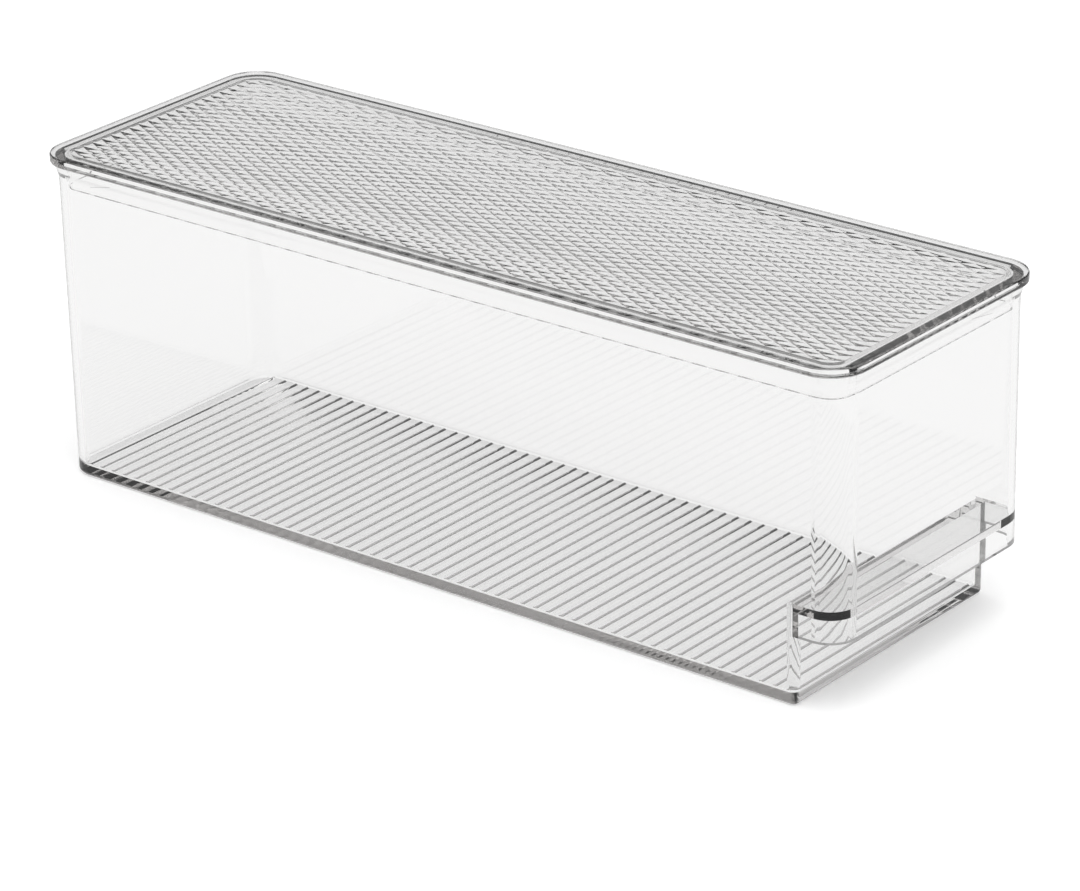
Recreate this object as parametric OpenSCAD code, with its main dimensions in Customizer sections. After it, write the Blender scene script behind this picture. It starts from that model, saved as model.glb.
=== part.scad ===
// Clear storage box with a lift-off lid: a deep tub on a ribbed floor, with a pull grip moulded
// under the step in its front end, and a flanged plug lid.
// +X runs along the box towards the grip end, +Z is up, and the origin is the middle of the base.

/* [Tub] */
// Outer length of the tub, measured at its rim
tub_length = 315; // [220:1:420]
// Outer width of the tub, measured at its rim
tub_width = 101; // [80:1:180]
// Height of the rim above the base
tub_height = 109; // [80:1:160]
// Thickness of the tub's walls
tub_wall = 2.5; // [1.8:0.1:3.5]
// Thickness of the floor
floor_thick = 3; // [2:0.1:4]
// How far each wall leans out from the base to the rim, for release from the mould
tub_draft = 0.7; // [0.2:0.1:1.5]
// Outer radius of the upright corners at the rim
corner_r = 10; // [8:0.5:20]
// Rounding of the outer edge round the base
base_round = 1.5; // [0.5:0.1:1.8]
// Fillet where the walls meet the floor inside
floor_fillet = 1.2; // [0.5:0.1:2.4]

/* [Rim] */
// How far the rim stands proud of the walls
rim_proud = 0.6; // [0.3:0.1:1.2]
// Height of the thickened rim, with its sloping underside
rim_height = 5; // [3:0.5:8]
// Height of the slope under the thickened rim
rim_slope = 2.5; // [1:0.5:3]

/* [Pull grip] */
// How far the lower front wall stands back from the upper one
grip_depth = 16; // [12:0.5:24]
// Height of the top of the ledge over the grip
ledge_top = 33; // [28:0.5:45]
// Thickness of the ledge
ledge_thick = 2.8; // [2:0.1:3.5]
// Height of the lower edge of the wall that hangs in front of the fingers
grip_edge = 23; // [15:0.5:24]
// Outer radius of the upright corners of the lower front wall
foot_corner_r = 2; // [1.9:0.1:4]

/* [Floor ribs] */
// Distance from one rib to the next
rib_pitch = 5.1; // [4:0.1:10]
// Width of a rib where it meets the floor
rib_width = 1.6; // [1:0.1:2.4]
// Height of a rib above the floor
rib_height = 0.5; // [0.3:0.1:0.8]
// Distance from the back wall's inner face to the middle of the first rib
rib_start = 5.5; // [4:0.1:12]
// Least distance from the middle of the last rib to the front wall's inner face
rib_stop = 2.1; // [2.1:0.1:10]
// Bare floor between the ends of the ribs and the long walls
rib_margin = 1.5; // [1.3:0.1:10]

/* [Lid] */
// How far the lid's flange reaches past the tub's wall on each side
flange_reach = 2.5; // [1.5:0.1:5]
// Thickness of the flange and of the frame round the panel
flange_thick = 3.1; // [2.4:0.1:4]
// Thickness of the patterned panel inside the plug
panel_thick = 2.2; // [1.6:0.1:2.3]
// Rounding of the flange's outer edges
flange_round = 0.6; // [0.2:0.1:1]
// How far the plug reaches down into the tub
plug_depth = 8.3; // [5:0.1:14]
// Thickness of the plug's wall
plug_wall = 1.5; // [1.2:0.1:2.5]
// How far the plug's wall leans in towards its lower edge
plug_draft = 0.15; // [0:0.05:0.5]

/* [Fits] */
// Gap between the plug and the tub's inner walls, at the rim
plug_gap = 0.6; // [0.3:0.1:1]

/* [Hidden] */

// Roundness of the upright corners and of small rounded edges
$fn = 48;
small_fn = 16;
// Overlap that makes a cut pass right through a face
cut_over = 1;
// Depth to which the middle of a block reaches into its sides
weld = 0.01;
// Least amount by which an upright corner's radius exceeds that of the edge under it
fillet_slack = 0.3;

// Depth to which the thickened rim starts inside the wall's face
rim_sink = 0.1;
// Step to which the leaning walls' sizes are rounded, so that neighbouring blocks meet exactly
fine_step = 0.001;

// How far a wall has leaned out at the height z
function leaned(z) = round(tub_draft * z / tub_height / fine_step) * fine_step;
// Half sizes of the tub at its base
base_half_x = tub_length / 2 - tub_draft;
base_half_y = tub_width / 2 - tub_draft;
base_corner_r = corner_r - tub_draft;
// Outer face of the lower front wall at the base
foot_front_x = tub_length / 2 - grip_depth;
// Underside of the ledge
ledge_under = ledge_top - ledge_thick;
// The ribs stand on the flat floor between the walls
rib_half_length = base_half_y - tub_wall - rib_margin;
rib_first_x = -base_half_x + tub_wall + rib_start;
rib_last_x = foot_front_x - tub_wall - rib_stop;
// Radius of the round whose top makes a rib
rib_r = (pow(rib_width / 2, 2) + pow(rib_height, 2)) / (2 * rib_height);
// The lid's flange lies on the rim
lid_base = tub_height;
lid_top = lid_base + flange_thick;
// Half sizes and corner radius of the plug's outer face, where it meets the flange
plug_half_x = tub_length / 2 - tub_wall - plug_gap;
plug_half_y = tub_width / 2 - tub_wall - plug_gap;
plug_r = corner_r - tub_wall - plug_gap;

// Draws the half outline of a leaning wall from its corner axis out to radius r at the base.
// The outline runs from height z0 to z1, and its lower outer corner is rounded by edge.
module wall_outline(r, z0, z1, edge) {
    mid = z0 + edge;
    r_mid = r + leaned(mid);
    polygon([[0, mid], [r_mid, mid], [r + leaned(z1), z1], [0, z1]]);
    if (edge > 0) {
        translate([0, z0])
            square([r_mid - edge, edge]);
        intersection() {
            translate([r_mid - edge, mid])
                circle(edge, $fn = small_fn);
            translate([r_mid - edge, z0])
                square(edge);
        }
    }
}

// Sweeps the child outline through the two upright corners at one end, end = 1 or -1.
// The corner axes stand at x and at half_y to each side.
module end_corners(x, half_y, end) {
    for (side = [-1, 1])
        translate([x, side * half_y, 0])
            rotate([0, 0, atan2(side, end) - 45])
                rotate_extrude(angle = 90)
                    children();
}

// Runs the child outline straight across one end, with its corner axes at x
module end_side(x, half_y, end) {
    translate([x, 0, 0])
        rotate([90, 0, 90 - 90 * end])
            linear_extrude(2 * half_y, center = true)
                children();
}

// Runs the child outline along the two long sides, from x0 to x1, with its corner axes at half_y
module long_sides(x0, x1, half_y) {
    for (side = [-1, 1])
        translate([(x0 + x1) / 2, side * half_y, 0])
            rotate([90, 0, 90 * side])
                linear_extrude(x1 - x0, center = true)
                    children();
}

// Carries the child outline round a rounded rectangle whose four corner axes stand at x0, x1 and half_y
module all_round(x0, x1, half_y) {
    end_corners(x0, half_y, -1)
        children();
    end_corners(x1, half_y, 1)
        children();
    end_side(x0, half_y, -1)
        children();
    end_side(x1, half_y, 1)
        children();
    long_sides(x0, x1, half_y)
        children();
}

// A solid with a rounded rectangle for its plan and leaning walls, from x0 to x1 at the base.
// Its back corners have the radius r and its front corners the radius front_r.
module leaning_block(x0, x1, half_y, r, front_r, z0, z1, edge) {
    end_corners(x0 + r, half_y - r, -1)
        wall_outline(r, z0, z1, edge);
    end_side(x0 + r, half_y - r, -1)
        wall_outline(r, z0, z1, edge);
    end_corners(x1 - front_r, half_y - front_r, 1)
        wall_outline(front_r, z0, z1, edge);
    end_side(x1 - front_r, half_y - front_r, 1)
        wall_outline(front_r, z0, z1, edge);
    long_sides(x0 + r, x1 - front_r, half_y - r)
        wall_outline(r, z0, z1, edge);
    translate([x0 + r - weld, r - half_y - weld, z0])
        cube([x1 - x0 - r - front_r + 2 * weld, 2 * (half_y - r + weld), z1 - z0]);
}

// The plan of the whole tub, drawn in from its outer faces by inset
module whole_plan(inset, z0, z1) {
    r = base_corner_r - inset;
    leaning_block(inset - base_half_x, base_half_x - inset, base_half_y - inset, r, r, z0, z1, 0);
}

// The plan of the foot under the step, drawn in by inset: round behind and nearly square in front
module foot_plan(inset, z0, z1, edge) {
    front_r = max(foot_corner_r - inset, edge + fillet_slack);
    leaning_block(inset - base_half_x, foot_front_x - inset, base_half_y - inset,
        base_corner_r - inset, front_r, z0, z1, edge);
}

// The band that thickens the rim, with a sloping underside
module rim_band() {
    r = base_corner_r;
    low = tub_height - rim_height;
    outline = [
        [r - tub_wall / 2, low],
        [r + leaned(low) - rim_sink, low],
        [r + leaned(low + rim_slope) + rim_proud, low + rim_slope],
        [corner_r + rim_proud, tub_height],
        [r - tub_wall / 2, tub_height]
    ];
    all_round(r - base_half_x, base_half_x - r, base_half_y - r)
        polygon(outline);
}

// The space that the box encloses: above the ledge it fills the whole plan, below it the foot
module tub_hollow() {
    whole_plan(tub_wall, ledge_top, tub_height + cut_over);
    foot_plan(tub_wall, floor_thick, ledge_top, floor_fillet);
}

// The space for the fingers, between the lower front wall and the wall that hangs before it
module finger_space() {
    difference() {
        intersection() {
            whole_plan(tub_wall, grip_edge - cut_over, ledge_under);
            translate([foot_front_x - foot_corner_r, -tub_width, 0])
                cube([tub_length, 2 * tub_width, tub_height]);
        }
        foot_plan(0, grip_edge, ledge_top, 0);
    }
}

// The fine round ribs across the floor
module floor_ribs() {
    for (x = [rib_first_x : rib_pitch : rib_last_x])
        translate([x, 0, floor_thick + rib_height - rib_r])
            rotate([90, 0, 0])
                cylinder(r = rib_r, h = 2 * rib_half_length, center = true, $fn = small_fn * 2);
}

// The tub: walls, floor, the step with its ledge, the pull grip and the rim
module tub() {
    color([0.86, 0.9, 0.92, 0.35]) {
        difference() {
            union() {
                difference() {
                    whole_plan(0, grip_edge, tub_height);
                    finger_space();
                }
                foot_plan(0, 0, grip_edge, base_round);
                rim_band();
            }
            tub_hollow();
        }
        floor_ribs();
    }
}

// Draws the flange's half outline, from its corner axis out to its rounded outer edge
module flange_outline(r) {
    translate([0, lid_base + flange_round])
        square([r, flange_thick - 2 * flange_round]);
    translate([0, lid_base])
        square([r - flange_round, flange_thick]);
    for (z = [lid_base + flange_round, lid_top - flange_round])
        translate([r - flange_round, z])
            circle(flange_round, $fn = small_fn);
}

// Draws the plug's wall: it starts inside the flange and leans in towards its lower edge
module plug_outline() {
    low = tub_height - plug_depth;
    polygon([
        [plug_r - plug_wall, lid_base + weld],
        [plug_r - plug_wall, low],
        [plug_r - plug_draft, low],
        [plug_r, lid_base + weld]
    ]);
}

// The lid: a flange that lies on the rim, a thinner panel and a plug that drops into the tub
module lid() {
    flange_r = corner_r + flange_reach;
    axis_x = tub_length / 2 - corner_r;
    axis_y = tub_width / 2 - corner_r;
    plug_x = plug_half_x - plug_r;
    plug_y = plug_half_y - plug_r;
    pocket_x = plug_half_x - plug_wall;
    pocket_y = plug_half_y - plug_wall;
    color([0.88, 0.92, 0.94, 0.35]) {
        difference() {
            union() {
                all_round(-axis_x, axis_x, axis_y)
                    flange_outline(flange_r);
                translate([-axis_x - weld, -axis_y - weld, lid_base])
                    cube([2 * (axis_x + weld), 2 * (axis_y + weld), flange_thick]);
            }
            translate([0, 0, lid_base - cut_over])
                linear_extrude(cut_over + flange_thick - panel_thick)
                    pocket_plan(pocket_x, pocket_y, plug_r - plug_wall);
        }
        all_round(-plug_x, plug_x, plug_y)
            plug_outline();
    }
}

// A rounded rectangle, given by its half sizes and its corner radius
module pocket_plan(half_x, half_y, r) {
    square([2 * (half_x - r), 2 * half_y], center = true);
    square([2 * half_x, 2 * (half_y - r)], center = true);
    for (x = [-1, 1], y = [-1, 1])
        translate([x * (half_x - r), y * (half_y - r)])
            circle(r);
}

tub();
lid();
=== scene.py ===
# Dresses the clear storage box: a stepped tub with a ribbed floor, and a lift-off lid whose panel
# carries a moulded diamond texture. Metres throughout.
import math

import bmesh
import bpy
from mathutils import Matrix, Vector


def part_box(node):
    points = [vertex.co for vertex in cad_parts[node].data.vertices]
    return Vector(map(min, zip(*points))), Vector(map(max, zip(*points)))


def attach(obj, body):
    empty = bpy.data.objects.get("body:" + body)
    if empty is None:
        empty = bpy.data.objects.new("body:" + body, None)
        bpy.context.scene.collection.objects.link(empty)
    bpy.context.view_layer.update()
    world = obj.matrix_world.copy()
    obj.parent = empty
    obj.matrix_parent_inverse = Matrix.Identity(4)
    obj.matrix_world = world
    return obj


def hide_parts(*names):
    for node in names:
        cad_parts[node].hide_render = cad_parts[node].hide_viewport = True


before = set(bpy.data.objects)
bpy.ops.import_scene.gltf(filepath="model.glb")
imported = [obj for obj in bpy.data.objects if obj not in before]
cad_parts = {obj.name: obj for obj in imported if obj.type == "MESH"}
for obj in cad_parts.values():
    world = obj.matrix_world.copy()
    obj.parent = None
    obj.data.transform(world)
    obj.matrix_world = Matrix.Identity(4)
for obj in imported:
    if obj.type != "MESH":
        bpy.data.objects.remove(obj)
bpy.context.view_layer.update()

# Diamond texture of the lid's panel: the diagonals of one diamond, and how far its middle stands
# proud of the panel's underside
DIAMOND_LONG = 0.00853
DIAMOND_SHORT = 0.00437
DIAMOND_DEPTH = 0.0003

# Half length and half width that the diamonds' cuts have to cover, a little more than the panel's
CUT_HALF_LENGTH = 0.155
CUT_HALF_WIDTH = 0.05

# A diamond that the panel's edge cuts off to less than this share of a whole one stays flat
WHOLE_SHARE = 0.98

# Air between the lid's flange and the rim that it lies on
SEAT_AIR = 0.00006

# How close vertices, the seat's height and a cut have to be to count as the same place
WELD_DISTANCE = 1e-6
SEAT_TOLERANCE = 1e-5
CUT_TOLERANCE = 1e-7

# Faces of the CAD lid closer to one plane than this are joined; edges flatter than this are smooth
FLAT_ANGLE = math.radians(0.5)
SMOOTH_ANGLE = math.radians(12.0)

# A face looks down if its normal's Z is below this
LOOKS_DOWN = -0.99

# Clear moulded plastic: its refractive index, and what it absorbs over each metre
PLASTIC_IOR = 1.49
ABSORPTION_COLOUR = (0.52, 0.50, 0.49, 1.0)
ABSORPTION_DENSITY = 14.0

# A moulded face's unevenness: noise scales per metre, the bump, and the roughest the polish gets
FLOW_SCALE = 9.0
GRAIN_SCALE = 60.0
BUMP_STRENGTH = 0.06
BUMP_DISTANCE = 0.001
ROUGHEST = 0.012

# Studio floor: half its side, how far it lies below the box, its grey, the glow that the camera
# sees, and the share of plain white that a ray through or off the plastic sees
FLOOR_HALF_SIDE = 3.0
FLOOR_DROP = 0.0002
FLOOR_GREY = 0.9
FLOOR_GLOW = 0.36
FLOOR_WHITE_SHARE = 0.85

# Studio room: the sine of the elevation up to which it is dark and from which it is white
ROOM_DARK_BELOW = 0.48
ROOM_WHITE_ABOVE = 0.72
ROOM_DARK_GREY = 0.30

# Point that the softbox looks at
LIGHT_AIM = Vector((0.0, 0.0, 0.05))

# The photograph's camera, from a fit of the box's edges: its direction from the box and its roll in
# radians, then lengths in the fit's millimetres, which FIT_SCALE turns into metres
CAMERA_AZIMUTH = 0.68413
CAMERA_ELEVATION = 0.40904
CAMERA_ROLL = -0.022753
CAMERA_DISTANCE = 1569.05
CAMERA_RIGHT = 4.2216
CAMERA_UP = -26.0618
CAMERA_AIM = Vector((0.0, 0.0, 60.0))
FIT_SCALE = 0.984e-3

# The same fit's focal length in pixels of the photograph, the photograph's width in pixels, and
# the width of the sensor that stands for it in millimetres
FOCAL_PIXELS = 4881.5
PHOTO_PIXELS = 1080.0
SENSOR_WIDTH = 36.0

# Light paths cross many clear faces before they leave the box
CLEAR_BOUNCES = 24
MIRROR_BOUNCES = 16


def mould_surface_group():
    """Faint flow marks of a moulded face: a height for the bump and a slightly uneven roughness."""
    group = bpy.data.node_groups.new("mould_surface", "ShaderNodeTree")
    for name in ("Flow", "Grain"):
        socket = group.interface.new_socket(name, in_out="INPUT", socket_type="NodeSocketFloat")
        socket.default_value = 1.0
    for name in ("Height", "Roughness"):
        group.interface.new_socket(name, in_out="OUTPUT", socket_type="NodeSocketFloat")
    nodes, links = group.nodes, group.links
    given = nodes.new("NodeGroupInput")
    out = nodes.new("NodeGroupOutput")
    where = nodes.new("ShaderNodeTexCoord")
    flow = nodes.new("ShaderNodeTexNoise")
    flow.inputs["Scale"].default_value = FLOW_SCALE
    flow.inputs["Detail"].default_value = 2.0
    links.new(where.outputs["Object"], flow.inputs["Vector"])
    height = nodes.new("ShaderNodeMath")
    height.operation = "MULTIPLY"
    links.new(flow.outputs["Fac"], height.inputs[0])
    links.new(given.outputs["Flow"], height.inputs[1])
    links.new(height.outputs[0], out.inputs["Height"])
    grain = nodes.new("ShaderNodeTexNoise")
    grain.inputs["Scale"].default_value = GRAIN_SCALE
    links.new(where.outputs["Object"], grain.inputs["Vector"])
    rough = nodes.new("ShaderNodeMapRange")
    rough.inputs["To Min"].default_value = 0.0
    rough.inputs["To Max"].default_value = ROUGHEST
    links.new(grain.outputs["Fac"], rough.inputs["Value"])
    scaled = nodes.new("ShaderNodeMath")
    scaled.operation = "MULTIPLY"
    links.new(rough.outputs["Result"], scaled.inputs[0])
    links.new(given.outputs["Grain"], scaled.inputs[1])
    links.new(scaled.outputs[0], out.inputs["Roughness"])


def clear_plastic(name, colour, flow, grain):
    """Polished clear plastic, with the faint unevenness of a moulded face."""
    material = bpy.data.materials.new(name)
    material.use_nodes = True
    nodes, links = material.node_tree.nodes, material.node_tree.links
    shader = nodes["Principled BSDF"]
    shader.inputs["Base Color"].default_value = (*colour, 1.0)
    shader.inputs["Metallic"].default_value = 0.0
    shader.inputs["IOR"].default_value = PLASTIC_IOR
    shader.inputs["Transmission Weight"].default_value = 1.0
    surface = nodes.new("ShaderNodeGroup")
    surface.node_tree = bpy.data.node_groups["mould_surface"]
    surface.inputs["Flow"].default_value = flow
    surface.inputs["Grain"].default_value = grain
    links.new(surface.outputs["Roughness"], shader.inputs["Roughness"])
    bump = nodes.new("ShaderNodeBump")
    bump.inputs["Strength"].default_value = BUMP_STRENGTH
    bump.inputs["Distance"].default_value = BUMP_DISTANCE
    links.new(surface.outputs["Height"], bump.inputs["Height"])
    links.new(bump.outputs["Normal"], shader.inputs["Normal"])
    # light that runs a long way inside a wall comes out grey, as along a pane's edge
    depth = nodes.new("ShaderNodeVolumeAbsorption")
    depth.inputs["Color"].default_value = ABSORPTION_COLOUR
    depth.inputs["Density"].default_value = ABSORPTION_DENSITY
    links.new(depth.outputs["Volume"], nodes["Material Output"].inputs["Volume"])
    return material


def dress_tub(material):
    """The tub keeps its solid: its walls, ledge, grip and floor ribs are all in it."""
    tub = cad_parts["tub"]
    tub.data.materials.clear()
    tub.data.materials.append(material)


def panel_faces(bm):
    """The faces that the panel's underside has been cut into: material index 1 marks them."""
    return [f for f in bm.faces if f.material_index == 1]


def cut_diamonds(bm):
    """Cuts the panel's underside into diamonds and raises each whole one to a low pyramid."""
    under = [f for f in bm.faces if f.normal.z < LOOKS_DOWN]
    panel = max(under, key=lambda f: f.calc_area())
    panel.material_index = 1
    height = panel.calc_center_median().z
    tilt = math.atan2(DIAMOND_SHORT, DIAMOND_LONG)
    reach = int((CUT_HALF_WIDTH + CUT_HALF_LENGTH * math.tan(tilt)) / DIAMOND_SHORT) + 1
    for lean in (tilt, -tilt):
        across = Vector((-math.sin(lean), math.cos(lean), 0.0))
        for i in range(-reach, reach + 1):
            faces = panel_faces(bm)
            edges = list({e for f in faces for e in f.edges})
            verts = list({v for f in faces for v in f.verts})
            bmesh.ops.bisect_plane(
                bm,
                geom=verts + edges + faces,
                dist=CUT_TOLERANCE,
                plane_co=(0.0, (i + 0.5) * DIAMOND_SHORT, height),
                plane_no=across,
            )
    whole_area = 0.5 * DIAMOND_LONG * DIAMOND_SHORT
    whole = [f for f in panel_faces(bm) if f.calc_area() > WHOLE_SHARE * whole_area]
    bmesh.ops.poke(bm, faces=whole, offset=DIAMOND_DEPTH, center_mode="MEAN")


def make_lid(material):
    """The lid, with a diamond texture moulded into the underside of its panel."""
    bm = bmesh.new()
    bm.from_mesh(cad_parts["lid"].data)
    bmesh.ops.remove_doubles(bm, verts=bm.verts, dist=WELD_DISTANCE)
    bmesh.ops.dissolve_limit(bm, angle_limit=FLAT_ANGLE, verts=bm.verts, edges=bm.edges)
    for face in bm.faces:
        face.material_index = 0
    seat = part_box("tub")[1][2]
    seated = [v for v in bm.verts if abs(v.co.z - seat) < SEAT_TOLERANCE]
    bmesh.ops.translate(bm, verts=seated, vec=(0.0, 0.0, SEAT_AIR))
    cut_diamonds(bm)
    bmesh.ops.triangulate(bm, faces=bm.faces)
    bmesh.ops.recalc_face_normals(bm, faces=bm.faces)
    for edge in bm.edges:
        edge.smooth = edge.calc_face_angle(0.0) < SMOOTH_ANGLE
    for face in bm.faces:
        face.smooth = face.material_index == 0
        face.material_index = 0
    mesh = bpy.data.meshes.new("lid_textured")
    bm.to_mesh(mesh)
    bm.free()
    mesh.materials.append(material)
    lid = bpy.data.objects.new("lid_textured", mesh)
    bpy.context.scene.collection.objects.link(lid)
    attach(lid, "lid")
    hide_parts("lid")


def floor_material():
    """A pale matt floor that glows for the camera and looks nearly white through the plastic."""
    material = bpy.data.materials.new("pale_floor")
    material.use_nodes = True
    nodes, links = material.node_tree.nodes, material.node_tree.links
    shader = nodes["Principled BSDF"]
    shader.inputs["Base Color"].default_value = (FLOOR_GREY, FLOOR_GREY, FLOOR_GREY, 1.0)
    shader.inputs["Roughness"].default_value = 1.0
    shader.inputs["Specular IOR Level"].default_value = 0.0
    shader.inputs["Emission Color"].default_value = (1.0, 1.0, 1.0, 1.0)
    path = nodes.new("ShaderNodeLightPath")
    glow = nodes.new("ShaderNodeMath")
    glow.operation = "MULTIPLY"
    glow.inputs[1].default_value = FLOOR_GLOW
    links.new(path.outputs["Is Camera Ray"], glow.inputs[0])
    links.new(glow.outputs[0], shader.inputs["Emission Strength"])
    through = nodes.new("ShaderNodeMath")
    through.operation = "MAXIMUM"
    links.new(path.outputs["Is Transmission Ray"], through.inputs[0])
    links.new(path.outputs["Is Glossy Ray"], through.inputs[1])
    share = nodes.new("ShaderNodeMath")
    share.operation = "MULTIPLY"
    share.inputs[1].default_value = FLOOR_WHITE_SHARE
    links.new(through.outputs[0], share.inputs[0])
    white = nodes.new("ShaderNodeEmission")
    mix = nodes.new("ShaderNodeMixShader")
    links.new(share.outputs[0], mix.inputs["Fac"])
    links.new(shader.outputs["BSDF"], mix.inputs[1])
    links.new(white.outputs["Emission"], mix.inputs[2])
    links.new(mix.outputs["Shader"], nodes["Material Output"].inputs["Surface"])
    return material


def studio_floor():
    """A plain floor that fills the picture and keeps the box's soft shadow."""
    bm = bmesh.new()
    bmesh.ops.create_grid(bm, x_segments=1, y_segments=1, size=FLOOR_HALF_SIDE)
    bmesh.ops.translate(bm, verts=bm.verts, vec=(0.0, 0.0, -FLOOR_DROP))
    mesh = bpy.data.meshes.new("studio_floor")
    bm.to_mesh(mesh)
    bm.free()
    mesh.materials.append(floor_material())
    floor = bpy.data.objects.new("studio_floor", mesh)
    bpy.context.scene.collection.objects.link(floor)


def studio_world():
    """Soft white light from above that falls off to a darker room near the horizon."""
    world = bpy.data.worlds.new("studio")
    bpy.context.scene.world = world
    world.use_nodes = True
    nodes, links = world.node_tree.nodes, world.node_tree.links
    where = nodes.new("ShaderNodeTexCoord")
    split = nodes.new("ShaderNodeSeparateXYZ")
    links.new(where.outputs["Generated"], split.inputs[0])
    ramp = nodes.new("ShaderNodeValToRGB")
    links.new(split.outputs["Z"], ramp.inputs["Fac"])
    low, high = ramp.color_ramp.elements
    low.position = ROOM_DARK_BELOW
    low.color = (ROOM_DARK_GREY, ROOM_DARK_GREY, ROOM_DARK_GREY, 1.0)
    high.position = ROOM_WHITE_ABOVE
    high.color = (1.0, 1.0, 1.0, 1.0)
    links.new(ramp.outputs["Color"], nodes["Background"].inputs["Color"])
    nodes["Background"].inputs["Strength"].default_value = 1.0


def soft_light(name, place, size, power):
    """A square softbox that looks at the middle of the box."""
    data = bpy.data.lights.new(name, "AREA")
    data.size = size
    data.energy = power
    light = bpy.data.objects.new(name, data)
    turn = (LIGHT_AIM - Vector(place)).to_track_quat("-Z", "Y").to_matrix().to_4x4()
    light.matrix_world = Matrix.Translation(place) @ turn
    bpy.context.scene.collection.objects.link(light)


def place_camera():
    """The camera stands where the photograph's stood: a long lens, above the near front corner."""
    back = Vector((
        math.sin(CAMERA_AZIMUTH) * math.cos(CAMERA_ELEVATION),
        -math.cos(CAMERA_AZIMUTH) * math.cos(CAMERA_ELEVATION),
        math.sin(CAMERA_ELEVATION),
    ))
    right = (-back).cross(Vector((0.0, 0.0, 1.0))).normalized()
    up = right.cross(-back)
    shift = back * CAMERA_DISTANCE + right * CAMERA_RIGHT + up * CAMERA_UP
    place = (shift + CAMERA_AIM) * FIT_SCALE
    c, s = math.cos(CAMERA_ROLL), math.sin(CAMERA_ROLL)
    side = c * right + s * up
    top = -s * right + c * up
    data = bpy.data.cameras.new("camera")
    data.sensor_fit = "HORIZONTAL"
    data.sensor_width = SENSOR_WIDTH
    data.lens = FOCAL_PIXELS / PHOTO_PIXELS * SENSOR_WIDTH
    camera = bpy.data.objects.new("camera", data)
    turn = Matrix((side, top, back)).transposed().to_4x4()
    camera.matrix_world = Matrix.Translation(place) @ turn
    bpy.context.scene.collection.objects.link(camera)
    bpy.context.scene.camera = camera


mould_surface_group()
dress_tub(clear_plastic("tub_clear_plastic", (0.993, 0.993, 0.992), flow=1.0, grain=1.0))
make_lid(clear_plastic("lid_clear_plastic", (0.995, 0.995, 0.994), flow=0.6, grain=1.0))
studio_floor()
studio_world()
soft_light("overhead_softbox", place=(0.3, -0.2, 1.6), size=1.2, power=8.0)
place_camera()

bpy.context.scene.view_settings.view_transform = "Standard"
bpy.context.scene.cycles.max_bounces = CLEAR_BOUNCES
bpy.context.scene.cycles.transmission_bounces = CLEAR_BOUNCES
bpy.context.scene.cycles.glossy_bounces = MIRROR_BOUNCES
